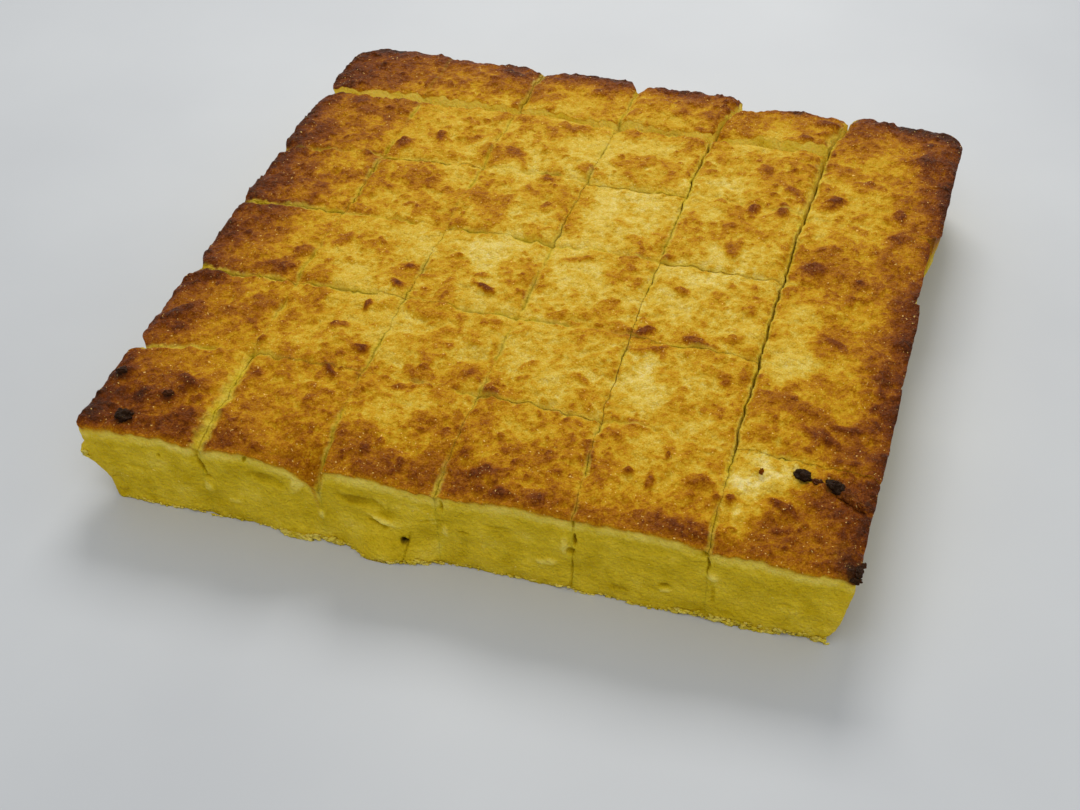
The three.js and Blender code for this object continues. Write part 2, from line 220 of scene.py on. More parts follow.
# ---- Marks in the cut front face ----
# The darker tone of the deep cracks and pits is partly the crumb's own streaks and partly painted shade.
FRONT_MARKS = [  # x, z, half length, half height, turn in degrees, depth, tone (above 0 is paler)
    (-79.8, 29.5, 1.0, 5.0, -5, 1.5, -0.3),
    (-79.2, 21.5, 0.7, 4.2, 20, 1.0, -0.4),
    (-77.6, 17.2, 1.5, 0.8, 15, 0.8, -0.4),
    (-78.1, 12.7, 2.0, 2.6, 0, -0.6, 0.5),
    (-93.0, 22.5, 0.6, 0.5, 0, 0.5, -0.6),
    (-63.9, 28.7, 0.5, 1.9, -30, 0.9, -2.0),
    (-58.0, 21.5, 7.0, 2.4, -12, 0.6, -0.3),
    (-47.5, 23.5, 2.4, 7.0, -25, -0.8, 0.4),
    (-28.0, 20.6, 9.5, 2.2, -8, 1.0, -0.35),
    (-20.5, 17.0, 3.2, 2.4, 0, 0.6, -0.35),
    (-22.0, 14.7, 4.6, 1.1, -18, -1.1, 0.6),
    (-22.5, 12.6, 3.8, 0.7, -18, 0.7, -0.5),
    (-41.3, 11.4, 1.3, 2.2, 0, -0.5, 0.5),
    (-6.0, 18.0, 4.4, 0.6, 14, 0.6, -0.35),
    (-15.1, 8.3, 1.1, 1.2, 0, 2.8, -2.0),
    (-14.4, 6.0, 0.4, 6.2, -12, 0.6, -0.3),
    (-3.0, 25.2, 0.6, 2.2, 0, 1.0, -0.5),
    (-6.0, 18.0, 1.7, 1.6, 0, -0.3, 0.4),
    (-2.5, 15.0, 1.3, 3.2, 0, -0.4, 0.4),
    (3.0, 16.0, 2.2, 0.5, 5, 0.5, -0.4),
    (36.2, 30.5, 0.5, 4.5, 0, 1.8, -0.4),
    (36.7, 22.2, 0.6, 2.5, 0, 1.9, -0.9),
    (35.5, 17.3, 1.7, 1.7, 0, 1.7, -0.5),
    (35.6, 7.5, 0.4, 8.0, -3, 0.6, -0.3),
    (33.9, 20.0, 1.2, 5.0, 0, -0.3, 0.35),
    (28.5, 11.0, 3.8, 1.8, 10, -0.4, 0.4),
    (63.0, 11.3, 2.0, 0.8, 10, 1.0, -0.5),
    (63.2, 9.2, 2.2, 1.1, 5, -0.4, 0.45),
    (75.2, 29.6, 0.5, 1.6, 0, 1.1, -0.6),
    (74.2, 27.4, 1.4, 1.5, 0, 1.7, -0.6),
    (75.2, 24.0, 0.5, 2.3, 10, 1.1, -0.6),
    (75.0, 21.3, 0.4, 1.8, -10, 0.8, -0.4),
    (76.6, 18.4, 1.7, 1.7, 0, -0.5, 0.45),
    (77.0, 11.5, 0.8, 3.8, 0, 0.4, -0.3),
    (97.0, 13.0, 3.0, 0.7, 5, 0.3, -0.2),
    (-101.0, 15.0, 4.0, 1.0, -5, 0.3, -0.2),
    (-70.0, 9.0, 3.0, 1.2, 12, -0.3, 0.25),
    (15.0, 21.0, 4.5, 0.6, 4, 0.3, -0.2),
    (55.0, 19.0, 5.0, 0.6, -4, 0.3, -0.2),
    (50.0, 6.0, 4.0, 0.9, 3, 0.3, -0.15),
]

SHADED_PIT = (-15.1, 8.3, 1.15)  # x, z and radius of the one deep hole, painted black inside as shade

# ---- Mesh density ----
EDGE_SPACING = [0.2, 0.25, 0.35, 0.45, 0.5]
TOP_SPACING = 0.58
FRONT_SPACING = 0.42
OUTER_DEPTHS = [0, 0.2, 0.45, 0.8, 1.2, 1.7, 2.3, 3.0]
OUTER_SPACING = 1.25
FRONT_LEVELS = 0.6
INNER_DEPTHS = [0, 0.3, 0.7, 1.3, 2.2, 3.6, 6, 10, 17]
WALL_HEIGHT = 33.0

CHAR_RUN, CREASE_SHADE_RUN = 0.9, 3.0  # how far down a wall the black and the painted shade along a cut run
BASE_LOOKS = {
    "browning": 0.0, "char_and_shade": 0.0, "crumb": 1.0, "crease_shade": 0.0, "below": WALL_HEIGHT, "tone": 0.0,
}

ROUNDS = 4  # of finding x from y and y from x, until both fit the wandering lines

Piece = namedtuple("Piece", "west east south north")  # the numbers of the lines around a piece


def on_rim(piece):
    return piece.west == 0 or piece.east == COLUMN_COUNT or piece.south == 0 or piece.north == ROW_COUNT


# ---- Helpers ----
def lerp(a, b, t):
    return a + (b - a) * t


def bell(distance, reach):
    return np.exp(-((distance / reach) ** 2))


def fade(t):
    t = np.clip(t, 0.0, 1.0)
    return t * t * (3 - 2 * t)


def between(low, high, value):
    return fade((value - low) / (high - low))


def hashed(i, j, seed):
    wave = np.sin(i * 127.1 + j * 311.7 + seed * 74.7) * 43758.5453
    return wave - np.floor(wave)


def noise(x, y, seed):
    """Smooth random relief between -1 and 1, the same at every run."""
    x, y = np.broadcast_arrays(x, y)
    i = np.floor(x)
    j = np.floor(y)
    u = fade(x - i)
    v = fade(y - j)
    low = lerp(hashed(i, j, seed), hashed(i + 1, j, seed), u)
    high = lerp(hashed(i, j + 1, seed), hashed(i + 1, j + 1, seed), u)
    return 2 * lerp(low, high, v) - 1


def turbulence(x, y, size, octaves, seed):
    """Layers of noise, each turned against the last and half its size."""
    total = 0.0
    weight = 1.0
    for k in range(octaves):
        angle = 0.7 + 1.9 * k
        across = (x * math.cos(angle) - y * math.sin(angle)) / size
        along = (x * math.sin(angle) + y * math.cos(angle)) / size
        total = total + weight * noise(across, along, seed + k)
        size *= 0.5
        weight *= 0.55
    return total


# ---- Plan: where a side or cut lies at a distance along it ----
def line_position(line, along, half, seed):
    """Where a side or cut lies at a place along it. half is half the cake's size that way."""
    t = (along + half) / (2 * half)
    aside = line["bow"] * 4 * t * (1 - t)
    if "gaps" in line:
        aside = aside + CUT_WOBBLE * noise(t * 2 * HALF_DEPTH / WOBBLE_LENGTH, 0.0, seed)
        aside = aside + line["hooks"][0] * bell(along + half, HOOK_REACH)
        aside = aside + line["hooks"][1] * bell(along - half, HOOK_REACH)
        aside = aside + FINE_WOBBLE * turbulence(along, seed * 3.7, FINE_WOBBLE_LENGTH, 2, 60)
    return lerp(line["start"], line["end"], t) + aside


def step_of(line, index):
    return line["steps"][index] if "steps" in line else 0.0


def column_x(piece, k, y):
    return line_position(COLUMN_LINES[k], y, HALF_DEPTH, k) + step_of(COLUMN_LINES[k], piece.south)


def row_y(piece, k, x):
    return line_position(ROW_LINES[k], x, HALF_WIDTH, ROW_SEED + k) + step_of(ROW_LINES[k], piece.west)


def front_line(x):
    return line_position(FRONT, x, HALF_WIDTH, ROW_SEED)


def table(pairs, along):
    """A value listed at some places along a line, and in between them."""
    places, values = zip(*pairs)
    return np.interp(along, places, values)


def valley_width(line, along):
    """How wide a cut looks from above, with its rounded edges. Where it has healed it comes and goes."""
    width = table(line["gaps"], along)
    faint = 0.35 + 0.65 * fade(0.5 + 1.3 * noise(along / 8.0, line["start"], 58))
    return np.where(width < 0.9, width * faint, width * (0.8 + 0.2 * noise(along / 4.0, line["end"], 59)))


def open_width(line, along):
    """How wide a cut has stayed open, down to a hair where it has healed."""
    width = table(line["gaps"], along)
    narrow = between(0.1, 0.5, width) * between(1.4, 0.8, width)
    healed = SEAM + 0.08 * fade(0.3 + noise(along / 7.0, line["start"], 57)) * narrow
    if "open" in line:
        uneven = 0.8 + 0.45 * noise(along / 2.6, line["start"], 56)
        return np.maximum(width * table(line["open"], along) * uneven, healed)
    return healed


def crumb_relief(along, z, seed):
    """How far a torn or baked wall of crumb stands in."""
    swell = 0.4 * turbulence(along, z * 1.4, 11.0, 2, seed)
    streaks = 0.13 * turbulence(along, z * 1.5, 4.0, 2, seed + 3)
    grain = 0.15 * turbulence(along, z, 1.5, 2, seed + 6)
    return swell + streaks + grain


def frayed_foot(along, z, seed):
    """The last few millimetres above the base, torn off the tin and uneven."""
    fray = 0.45 * turbulence(along, z, 7.0, 4, seed)
    return fray * between(3.0, 0.3, z)


def front_marks(x, z):
    """Pits, cracks and swellings of the cut front face: how deep, and how much paler. The darkening of the
    deep ones is partly painted shade.
    """
    outline = 0.3 * noise(x / 1.3, z / 1.3, 301) + 0.2 * noise(x / 0.6, z / 0.6, 302)
    deep, pale = 0.0, 0.0
    for place_x, place_z, half_length, half_height, turn, depth, tone in FRONT_MARKS:
        distance = spot_distance(x, z, place_x, place_z, half_length, half_height, turn, outline)
        near = between(1.15, 0.45, distance)
        deep = deep + depth * near
        pale = pale + tone * near
    return deep, pale


def stand_back(line, along, level, z, seed):
    """How far a piece's wall stands back from its line, from the crust (level 1) to the base."""
    if "gaps" in line:
        width = open_width(line, along)
        foot = np.clip(CUT_FOOT - CUT_FOOT_FALL * width, 0.1, 0.9)
        opening = np.clip((level - foot) / (1 - foot), 0, 1) ** CUT_FLARE
        torn = TORN_EDGE * (1 + noise(along / 2.3, z / 2.0, seed + 5))
        share = line.get("share", 0.5)
        if seed % 100 >= FAR_WALL:
            share = 1 - share
        return share * lerp(SEAM, width, opening) + torn * opening * np.minimum(width, 1.0)
    crust = fade((level - CRUST_LEVEL) / CRUST_BLEND)
    ragged = line["ragged"] * (0.5 + 0.5 * turbulence(along, 0.0, 6.0, 4, seed) / 1.6)
    wall = line["lip"] + line["taper"] * np.clip(1 - level, 0, 1) ** TAPER_POWER
    wall = wall + crumb_relief(along, z, seed + 11) + frayed_foot(along, z, seed + 23)
    if line is FRONT:
        wall = wall + front_marks(along, z)[0]
    for place, level_z, reach, height, depth in line.get("marks", []):
        wall = wall + depth * bell(along - place, reach) * bell(z - level_z, height)
    return lerp(wall, ragged, crust)


def foot_reach(x, z):
    """How far torn crumb reaches forward along the front's foot."""
    reach = 0.0
    for place, depth, west, east, height in TORN_FEET:
        side = np.where(x < place, west, east)
        reach = reach + depth * bell(x - place, side) * bell(z, height)
    return reach


def notch_depth(notch, ahead, inside):
    """How far a side draws back at a cut's end, at a distance ahead along it and inside it."""
    depth = np.where(ahead < 0, notch[0], notch[2])
    reach = np.where(ahead < 0, notch[1], notch[3])
    return depth * bell(ahead, reach) * bell(inside, np.maximum(6, 2 * depth))


def notch_across(piece, x, y):
    """How far the front and back draw back where the column cuts meet them."""
    shift = 0.0
    for k in (piece.west, piece.east):
        line = COLUMN_LINES[k]
        if "notches" in line:
            ahead = x - column_x(piece, k, y)
            shift = shift + notch_depth(line["notches"][0], ahead, y - row_y(piece, 0, x))
            shift = shift - notch_depth(line["notches"][1], ahead, y - row_y(piece, ROW_COUNT, x))
    return shift


def notch_along(piece, x, y):
    """How far the left and right sides draw back where the row cuts meet them."""
    shift = 0.0
    for k in (piece.south, piece.north):
        line = ROW_LINES[k]
        if "notches" in line:
            ahead = y - row_y(piece, k, x)
            shift = shift + notch_depth(line["notches"][0], ahead, x - column_x(piece, 0, y))
            shift = shift - notch_depth(line["notches"][1], ahead, x - column_x(piece, COLUMN_COUNT, y))
    return shift


def plan_point(piece, u, v, level, z):
    """Points of a piece's outline or top: u and v run across it, level runs up its wall."""
    def between_columns(y):
        west_line = COLUMN_LINES[piece.west]
        east_line = COLUMN_LINES[piece.east]
        west = column_x(piece, piece.west, y) + stand_back(west_line, y, level, z, WEST_WALL + piece.west)
        east = column_x(piece, piece.east, y) - stand_back(east_line, y, level, z, EAST_WALL + piece.east)
        return lerp(west, east, u)

    def between_rows(x):
        south_line = ROW_LINES[piece.south]
        north_line = ROW_LINES[piece.north]
        south = row_y(piece, piece.south, x) + stand_back(south_line, x, level, z, SOUTH_WALL + piece.south)
        north = row_y(piece, piece.north, x) - stand_back(north_line, x, level, z, NORTH_WALL + piece.north)
        return lerp(south, north, v)

    x = np.zeros_like(u)
    y = np.zeros_like(u)
    for _ in range(ROUNDS):
        x = between_columns(y)
        y = between_rows(x)
    y = y + notch_across(piece, x, y)
    x = between_columns(y)
    x = x + notch_along(piece, x, y)
    return round_corner(piece, x, y, level, z)


def round_corner(piece, x, y, level, z):
    """The same points, with those in a corner of the whole cake drawn in to a rounded corner."""
    on_left = piece.west == 0
    on_right = piece.east == COLUMN_COUNT
    at_front = piece.south == 0
    at_back = piece.north == ROW_COUNT
    if not (on_left or on_right) or not (at_front or at_back):
        return x, y
    radius = CORNER_RADIUS[("front" if at_front else "back") + (" left" if on_left else " right")]
    sign_x = 1 if on_left else -1
    sign_y = 1 if at_front else -1
    column = 0 if on_left else COLUMN_COUNT
    row = 0 if at_front else ROW_COUNT
    column_seed = WEST_WALL if on_left else EAST_WALL + COLUMN_COUNT
    row_seed = SOUTH_WALL if at_front else NORTH_WALL + ROW_COUNT
    edge_x = column_x(piece, column, y) + sign_x * stand_back(COLUMN_LINES[column], y, level, z, column_seed)
    edge_y = row_y(piece, row, x) + sign_y * stand_back(ROW_LINES[row], x, level, z, row_seed)
    in_x = radius - sign_x * (x - edge_x)
    in_y = radius - sign_y * (y - edge_y)
    inside = (in_x > 0) & (in_y > 0)
    reach = np.maximum(np.hypot(in_x, in_y), 1e-6)
    shrink = np.where(inside, np.maximum(in_x, in_y) / reach, 1.0)
    return x + sign_x * in_x * (1 - shrink), y + sign_y * in_y * (1 - shrink)


# ---- Browning of the crust: 0 is pale, 1 is burnt ----
RIM_HEAT = [  # side, strength, reach of the warmth from that side
    ("left", 0.58, 34.0), ("left", 0.42, 10.0), ("left", 0.30, 3.0),
    ("right", 0.42, 24.0), ("right", 0.45, 7.0), ("right", 0.30, 2.5),
    ("back", 0.48, 18.0), ("back", 0.58, 6.0), ("back", 0.25, 2.0),
    ("front", 0.40, 20.0), ("front", 0.22, 5.0),
]
SPOTS = [  # x, y, half length, half width, turn in degrees, darkness
    (-115, -87.5, 3.2, 2.8, 0, 0.5),
    (-95.5, -94, 2.4, 1.8, 0, 0.45),
    (-104, -95.5, 3.6, 2.6, 20, 0.35),
    (-87.5, -98.5, 4.6, 3.0, 10, 0.35),
    (-92.5, -86.5, 5.2, 2.0, -25, 0.35),
    (-78, -96, 2.4, 1.8, 0, 0.4),
    (-112, -57, 4.0, 3.0, 60, 0.3),
    (-108, -63.5, 3.4, 2.6, 0, 0.3),
    (-96.5, -53, 3.4, 3.0, 0, 0.25),
    (-109, -36, 5.4, 3.0, 0, 0.35),
    (-83, -18.5, 4.6, 3.0, 10, 0.35),
    (-88, -28.5, 5.4, 3.6, 0, 0.3),
    (-73.5, -9, 4.5, 2.2, 70, 0.25),
    (-46, -19, 2.2, 1.5, 0, 0.4),
    (-47, -28.5, 3.4, 1.5, -25, 0.5),
    (-52.5, -39.5, 2.6, 1.4, 80, 0.5),
    (-57.5, -50.5, 4.0, 2.6, 0, 0.4),
    (-46.5, -59.5, 2.6, 1.8, 0, 0.45),
    (-78.5, -63.5, 1.8, 1.3, 60, 0.35),
    (-52, -71, 4.6, 1.2, -45, 0.45),
    (-67, -76, 2.4, 1.7, 0, 0.3),
    (-75, -76.5, 3.2, 2.2, 0, 0.28),
    (-29, -72.5, 2.6, 1.6, 0, 0.25),
    (-22, -16.5, 2.8, 1.7, 0, 0.35),
    (-19, -22.5, 4.2, 1.5, -25, 0.55),
    (-10, -61, 3.6, 2.6, 80, 0.25),
    (-2, -66.5, 4.6, 2.2, -20, 0.3),
    (27.5, -6, 1.8, 2.8, 0, 0.28),
    (42, -5.5, 2.4, 1.8, 0, 0.28),
    (35.5, -28, 4.4, 1.7, 45, 0.45),
    (51.5, -28, 5.0, 2.2, -15, 0.4),
    (63, -24, 2.4, 2.0, -40, 0.32),
    (41, -35, 4.6, 1.7, 30, 0.35),
    (62, -40, 4.6, 2.4, 0, 0.2),
    (23.5, -54, 4.0, 1.5, -30, 0.32),
    (6, -53, 4.0, 1.8, 45, 0.25),
    (6, -98, 6.0, 2.6, 15, 0.35),
    (14, -104, 4.2, 2.0, 10, 0.35),
    (25, -103, 4.0, 2.4, 0, 0.3),
    (34, -82, 5.4, 2.0, -60, 0.3),
    (47, -87, 1.7, 1.4, 0, 0.5),
    (53.5, -88.5, 1.5, 2.6, 0, 0.4),
    (56, -77.5, 0.8, 1.4, 0, 0.45),
    (66, -84, 4.4, 3.0, 0, 0.3),
    (77, -88, 1.8, 1.5, 0, 0.5),
    (73, -88.5, 1.2, 1.2, 0, 0.4),
    (70, -101, 9.0, 3.2, 5, 0.3),
    (92, -86.5, 6.6, 1.9, -25, 0.45),
    (103, -83.5, 8.0, 4.5, -20, 0.22),
    (96, -57, 7.0, 2.6, -15, 0.35),
    (103, -51.5, 6.5, 1.6, 10, 0.3),
    (93, -16, 6.5, 1.7, -38, 0.32),
    (88, -47, 12.0, 2.6, -15, 0.2),
    (80, 18, 4.8, 4.0, 0, 0.4),
    (96, 14, 2.8, 2.2, 0, 0.35),
    (104, 43, 4.8, 3.8, 20, 0.4),
    (64, 45, 2.6, 4.6, 0, 0.42),
    (54.5, 44, 2.0, 4.4, -15, 0.42),
    (53, 19, 2.6, 4.6, 0, 0.32),
    (65, 57.5, 4.2, 2.6, -30, 0.36),
    (80, 57, 4.4, 3.0, 30, 0.4),
    (102, 56, 2.6, 4.0, 0, 0.4),
    (53, 68, 3.6, 3.2, -45, 0.28),
    (5, 1, 7.0, 1.8, 20, 0.28),
    (85, 28, 5.0, 3.4, 40, 0.25),
    (106, 91, 4.4, 5.4, 0, 0.4),
    (105, 103, 3.0, 3.0, 0, 0.42),
    (68, 104, 4.4, 2.6, -10, 0.42),
    (63, 92, 2.8, 2.0, 0, 0.38),
    (16, 95.5, 5.0, 2.6, 0, 0.2),
    (-51, 105, 7.4, 2.4, -25, 0.42),
    (-81, 108.5, 5.0, 3.6, 0, 0.35),
    (-18, 102, 3.6, 3.0, 30, 0.28),
    (-96, 66, 3.8, 3.4, 40, 0.3),
    (-102, 74, 4.4, 5.0, 0, 0.25),
    (-75, 50.5, 4.0, 3.2, 0, 0.4),
    (-63.5, 57, 2.2, 3.4, 0, 0.4),
    (-86, 40, 2.8, 1.8, -20, 0.3),
    (-34, 53, 4.6, 4.0, 0, 0.28),
    (-17, 74.5, 9.0, 3.2, 0, 0.25),
    (-6, 50, 4.4, 3.4, -30, 0.3),
    (-17, 39.5, 2.6, 1.7, 10, 0.32),
    (-37, 24, 5.5, 5.0, 0, 0.22),
    (-69.5, 23.5, 2.6, 2.2, 0, 0.3),
    (-14, 24, 1.9, 2.6, 0, 0.28),
    (-94, 18, 4.0, 2.6, 30, 0.25),
    (-105, 3, 3.4, 2.8, 0, 0.2),
]
PALE_PATCHES = [  # x, y, reach and strength of the places that stayed pale
    (-30, -3, 13, 0.09),
    (-68, -20, 9, 0.07),
    (54, 8, 13, 0.09),
    (81, -74, 9, 0.30),
    (80, -93, 7, 0.28),
    (91, -73, 5, 0.22),
    (79, -82, 6, 0.16),
    (42, -43, 12, 0.08),
    (-24, -40, 9, 0.07),
    (12, 36, 9, 0.06),
    (42, 62, 9, 0.05),
    (86, -30, 9, 0.08),
    (88, 38, 9, 0.06),
]
LUMPS = [  # x, y, half length, half width, height, turn in degrees, how black
    (-105.6, -104.5, 3.1, 2.7, 2.6, 0, 0.85),
    (-115.3, -87.2, 2.2, 1.8, 1.3, 0, 0.75),
    (-95.6, -93.8, 1.7, 1.4, 1.5, 0, 0.6),
    (94.3, -73.8, 3.0, 2.4, 2.9, 0, 0.9),
    (98.9, -75.0, 1.8, 1.2, 1.1, 0, 0.5),
    (103.6, -74.8, 3.3, 2.4, 2.8, -15, 0.9),
    (107.4, -77.0, 3.8, 2.4, 3.2, -35, 0.3),
    (110.0, -78.9, 3.2, 1.9, 3.0, -38, 0.18),
    (112.0, -80.4, 2.2, 1.1, 2.2, -32, 0.18),
    (82.9, -76.0, 0.8, 0.5, 3.4, 20, 0.1),
    (115.4, -101.5, 1.3, 2.4, 1.2, 10, 0.8),
    (114.9, -104.2, 2.4, 1.3, 1.1, 0, 0.85),
    (116.4, -99.0, 0.9, 1.2, 0.9, 0, 0.8),
]
LUMP_KNOBS = 44  # burnt grains on each lump
BLISTER_SIZE = 4.4
BURN_KNEE, PAST_KNEE = 0.4, 0.76  # past the knee the crust browns more slowly
LIP_BURN, LIP_SHARE, LIP_REACH = 0.36, 0.9, 1.5  # the crust is evenly brown along the front's edge

# Torn flakes along the front's foot, over its face and at its left end.
CRUMB_ZONES = [  # from x, to x, from z, to z, size and count
    (-56, -36, 0.2, 1.6, 1.5, 80),
    (-22, -8, 0.2, 1.2, 1.0, 30),
    (-108, -56, 0.2, 1.2, 0.8, 60),
    (-36, 65, 0.2, 1.5, 0.9, 90),
    (65, 111, 0.2, 2.4, 1.2, 130),
    (-112, 108, 3.0, 26.0, 0.4, 60),
    (-119.4, -118.0, 15.8, 18.0, 1.1, 12),
]
FLAKE_SHAPE = [1.3, 0.5, 0.6]  # along the wall, out of it and up

CHARRED = [  # x, y, radius and strength of what is burnt black
    (-105.6, -104.5, 3.4, 0.8),
    (94.3, -74.0, 3.0, 0.7),
    (103.6, -74.8, 3.2, 0.7),
    (108.6, -77.4, 2.2, 0.25),
    (114.8, -103.2, 4.2, 0.75),
    (111.0, -98.0, 5.0, 0.25),
    (56, 111, 3.5, 0.6),
    (97, 114, 4.5, 0.6),
    (-115.5, -88, 2.4, 0.6),
    (-95.5, -94, 1.6, 0.5),
    (-103, 115, 2.5, 0.6),
]


def rim_heat(x, y):
    """How strongly the oven browned the crust towards its rim."""
    distance = {
        "left": x - LEFT["start"],
        "right": RIGHT["end"] - x,
        "back": BACK["start"] - y,
        "front": y - front_line(x),
    }
    cool = 1.0
    for side, strength, reach in RIM_HEAT:
        cool = cool * (1 - strength * np.exp(-np.maximum(distance[side], 0) / reach))
    return 1 - cool


def spot_distance(x, y, place_x, place_y, half_length, half_width, turn, outline):
    """0 in the middle of a spot and 1 at its uneven outline."""
    angle = math.radians(turn)
    along = (x - place_x) * math.cos(angle) + (y - place_y) * math.sin(angle)
    across = (y - place_y) * math.cos(angle) - (x - place_x) * math.sin(angle)
    return np.hypot(along / half_length, across / half_width) + 0.45 * outline


def blister_field(x, y, size, seed, outline):
    """Scattered round patches of random size and strength, about one to a square of this size."""
    column, row = np.floor(x / size), np.floor(y / size)
    field = 0.0
    for step_x in (-1, 0, 1):
        for step_y in (-1, 0, 1):
            i, j = column + step_x, row + step_y
            place_x = size * (i + hashed(i, j, seed))
            place_y = size * (j + hashed(i, j, seed + 1))
            radius = size * lerp(0.14, 0.5, hashed(i, j, seed + 2) ** 1.4)
            strength = lerp(0.35, 1.0, hashed(i, j, seed + 3))
            distance = np.hypot(x - place_x, 1.15 * (y - place_y)) / radius
            field = np.maximum(field, strength * between(1.2, 0.45, distance + outline))
    return field


def browning(x, y):
    """How brown the crust is, how far its browned patches stand up, and where it is only golden."""
    heat = rim_heat(x, y)
    warp_x = x + 1.6 * noise(x / 4.5, y / 4.5, 71) + 0.45 * noise(x / 1.7, y / 1.7, 70)
    warp_y = y + 1.6 * noise(x / 4.5, y / 4.5, 72) + 0.45 * noise(x / 1.7, y / 1.7, 69)
    outline = 0.38 * noise(x / 2.0, y / 2.0, 83) + 0.22 * noise(x / 0.9, y / 0.9, 84)
    broad = turbulence(warp_x, warp_y, 16.0, 2, 73)
    lobes = turbulence(warp_x, warp_y, 6.0, 3, 76)
    flakes = turbulence(warp_x, warp_y, 3.4, 3, 81)
    grainy = turbulence(x, y, 1.4, 2, 79)
    golden = between(-0.75, 0.85, 0.55 * broad + 0.6 * lobes + 0.25 * grainy + 0.3 * heat)
    field = 0.4 * broad + 0.35 * lobes + 0.55 * flakes + 0.2 * grainy + 0.3 * heat
    patch = between(0.0, 0.6, field)
    core = between(0.45, 0.95, field)
    blisters = blister_field(warp_x, warp_y, BLISTER_SIZE, 211, 0.55 * outline)
    blisters = blisters * fade(0.6 + 0.55 * broad + 0.3 * heat)
    spots, halos = 0.0, 0.0
    for place_x, place_y, half_length, half_width, turn, darkness in SPOTS:
        distance = spot_distance(x, y, place_x, place_y, half_length, half_width, turn, outline)
        spots = np.maximum(spots, darkness * between(1.2, 0.45, distance))
        halos = np.maximum(halos, darkness * between(1.8, 0.8, distance))
    raised = np.maximum(0.06 * patch + 0.06 * core, 0.29 * blisters)
    raised = np.maximum(raised, 0.9 * spots) + 0.15 * halos
    toasted = np.maximum(0.04 * patch + 0.045 * core, 0.29 * blisters)
    toasted = np.maximum(toasted, 0.9 * spots) + 0.2 * halos
    burn = 0.04 + 0.86 * heat + 0.24 * golden + 0.04 * grainy + toasted * (1 - 0.8 * heat)
    for place_x, place_y, reach, strength in PALE_PATCHES:
        burn = burn - strength * bell(np.hypot(x - place_x, y - place_y), reach)
    burn = np.where(burn > BURN_KNEE, BURN_KNEE + PAST_KNEE * (burn - BURN_KNEE), burn)
    lip = LIP_SHARE * np.exp(-np.maximum(y - front_line(x), 0) / LIP_REACH)
    return lerp(burn, LIP_BURN, lip), raised, golden


def charring(x, y):
    """How far the crust is burnt black."""
    outline = 0.5 * noise(x / 1.6, y / 1.6, 88) + 0.35 * noise(x / 0.7, y / 0.7, 89)
    char_and_shade = 0.0
    for place_x, place_y, radius, strength in CHARRED:
        distance = np.hypot(x - place_x, y - place_y) / radius
        char_and_shade = np.maximum(char_and_shade, strength * between(1.2, 0.4, distance + 0.5 * outline))
    return char_and_shade


# ---- Height of the crust ----
def lines_around(piece, x, y):
    """The four lines around a piece, each with the place along it and the distance inside it."""
    return [
        (COLUMN_LINES[piece.west], y, x - column_x(piece, piece.west, y)),
        (COLUMN_LINES[piece.east], y, column_x(piece, piece.east, y) - x),
        (ROW_LINES[piece.south], x, y - row_y(piece, piece.south, x)),
        (ROW_LINES[piece.north], x, row_y(piece, piece.north, x) - y),
    ]


def crown(x, y):
    """The height of the whole cake's smooth, crowned top."""
    u = np.minimum(np.abs(x) / HALF_WIDTH, 1)
    v = np.minimum(np.abs(y) / HALF_DEPTH, 1)
    return CORNER_HEIGHT + SIDE_RISE * (1 - u ** CROWN_POWER) + FRONT_RISE * (1 - v ** CROWN_POWER)


def edge_drop(line, along, distance):
    """How far the crust has fallen at a distance from a side or cut."""
    if "gaps" in line:
        width = valley_width(line, along)
        shoulder = between(0.02, 0.4, width) * (SHOULDER + 0.2 * noise(along / 6.0, line["start"], 61))
        valley = 0.5 * between(0.1, 0.5, width) + 0.55 * np.minimum(width, VALLEY_DEEPEST)
        return shoulder * bell(distance, SHOULDER_REACH) + valley * bell(distance, 0.85 + 0.5 * width)
    return line["drop"] * np.exp(-np.maximum(distance, 0) / line["reach"])


def front_dip(piece, x, y):
    """How far the crust sags over the front face beside the ends of the cuts."""
    from_front = np.maximum(y - row_y(piece, 0, x), 0)
    piece_middle = (column_x(piece, piece.west, y) + column_x(piece, piece.east, y)) / 2
    dip = 0.0
    for cut_x, depth, west, east, back in FRONT_DIPS:
        reach = np.where(piece_middle < cut_x, west, east)
        dip = dip + depth * bell(x - cut_x, reach) * bell(from_front, back)
    return dip


def crust_relief(x, y, raised, golden):
    """The blistered, grainy skin: swellings, pebbles, grains and raised browned spots."""
    swelling = SWELLING * turbulence(x, y, SWELLING_LENGTH, 2, 41)
    pebbles = PEBBLES * turbulence(x, y, PEBBLE_LENGTH, 2, 45)
    grains = GRAINS * turbulence(x, y, GRAIN_LENGTH, 1, 49)
    return swelling + pebbles + grains + BROWNED_RISE * raised + GOLDEN_RISE * golden


def under_ceiling(z):
    """Heights that near the top of the solids' box, eased so that they stay under it."""
    ceiling = cad_box[1][2] / MILLIMETRE - 0.02
    return ceiling - SOFT_CEILING * np.log1p(np.exp((ceiling - z) / SOFT_CEILING))


def crust_height(piece, x, y, raised, golden):
    """How high the crust stands: a crowned whole, with the relief and the valleys of the cuts."""
    share = UNCUT_STEP if piece.east == COLUMN_COUNT else 1.0
    lift = share * PIECE_STEP * (2 * hashed(piece.west, piece.south, 7) - 1)
    bumps = BUMP_HEIGHT * noise(x / BUMP_LENGTH, y / BUMP_LENGTH, 31)
    drops = sum(edge_drop(*line) for line in lines_around(piece, x, y))
    relief = crust_relief(x, y, raised, golden) - CRUST_SINK
    return under_ceiling(crown(x, y) + lift + bumps + relief - drops - front_dip(piece, x, y))


